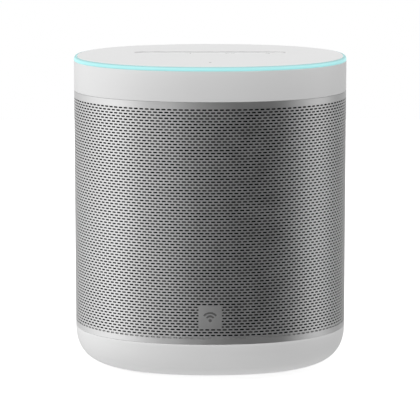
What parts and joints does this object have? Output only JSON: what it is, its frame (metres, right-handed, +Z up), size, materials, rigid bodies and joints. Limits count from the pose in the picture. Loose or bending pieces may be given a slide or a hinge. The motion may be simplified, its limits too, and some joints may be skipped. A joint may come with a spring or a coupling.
{
  "type": "smart speaker",
  "caption": "Oval tower smart speaker with a perforated metal sleeve, white base bowl and cap, a lit ring round the top edge and a flat touch panel.",
  "frame": {"origin": "centre of the oval footprint on the surface it stands on, at the underside of the foot ring", "axes": "+X to the right of the front, +Y to the back, so the front and its driver face -Y; +Z up through the touch panel"},
  "size_m": [0.131, 0.104, 0.151],
  "materials": {
    "white_paint": "satin white moulded plastic",
    "silver_sleeve": "fine blasted anodised sleeve, perforated with small slots",
    "lit_ring": "frosted light guide, lit cyan",
    "dark_rubber": "matte",
    "black_plastic": "fine texture",
    "black_cloth": "fine woven acoustic cloth",
    "steel": "zinc plated",
    "aluminium": "bare",
    "green_board": "solder resist over glass laminate",
    "grey_foam": "closed-cell foam",
    "black_paper": "pressed pulp cone",
    "dark_magnet": "sintered ferrite, dull",
    "copper_coil": "enamelled copper wire",
    "thermal_pad": "soft silicone",
    "ribbon_cable": "polyimide film",
    "lead_sheath": "insulated wire"
  },
  "bodies": {
    "cabinet": {"foot_ring": "dark_rubber", "base_bowl": "white_paint", "grille_sleeve": "silver_sleeve", "acoustic_cloth": "black_cloth", "inner_frame": "black_plastic", "top_band": "white_paint", "light_guide": "lit_ring", "top_panel": "white_paint", "led_board": "green_board", "touch_board": "green_board", "mic_board": "green_board", "mic_gasket": "dark_rubber", "antenna_left": "steel", "antenna_right": "steel", "top_ribbon": "ribbon_cable", "enclosure_front": "black_plastic", "enclosure_rear": "black_plastic", "enclosure_gasket": "grey_foam", "isolator_lower": "grey_foam", "isolator_upper": "grey_foam", "driver_gasket": "grey_foam", "driver_basket": "black_plastic", "driver_surround": "dark_rubber", "driver_spider": "grey_foam", "magnet_front_plate": "steel", "magnet_ring": "dark_magnet", "magnet_yoke": "steel", "driver_terminals": "green_board", "main_board": "green_board", "shield_can": "steel", "thermal_pad": "thermal_pad", "heat_sink": "aluminium", "power_board": "green_board", "dc_jack": "black_plastic", "speaker_lead": "lead_sheath", "lead_grommet": "dark_rubber", "dc_lead": "lead_sheath", "base_screw_1": "steel", "base_screw_2": "steel", "base_screw_3": "steel", "base_screw_4": "steel", "cap_screw_1": "steel", "cap_screw_2": "steel", "cap_screw_3": "steel", "cap_screw_4": "steel", "driver_screw_1": "steel", "driver_screw_2": "steel", "driver_screw_3": "steel", "driver_screw_4": "steel", "enclosure_screw_1": "steel", "enclosure_screw_2": "steel", "enclosure_screw_3": "steel", "enclosure_screw_4": "steel", "board_screw_1": "steel", "board_screw_2": "steel"},
    "cone_assembly": {"driver_cone": "black_paper", "driver_dust_cap": "black_paper", "voice_coil": "copper_coil"}
  },
  "joints": [
    {"name": "cone_travel", "type": "slide", "parent": "cabinet", "child": "cone_assembly", "axis": [0, -1, 0], "range_m": [-0.0025, 0.0025], "stiffness_N_per_m": 1500, "deforming": ["driver_surround", "driver_spider"]}
  ]
}
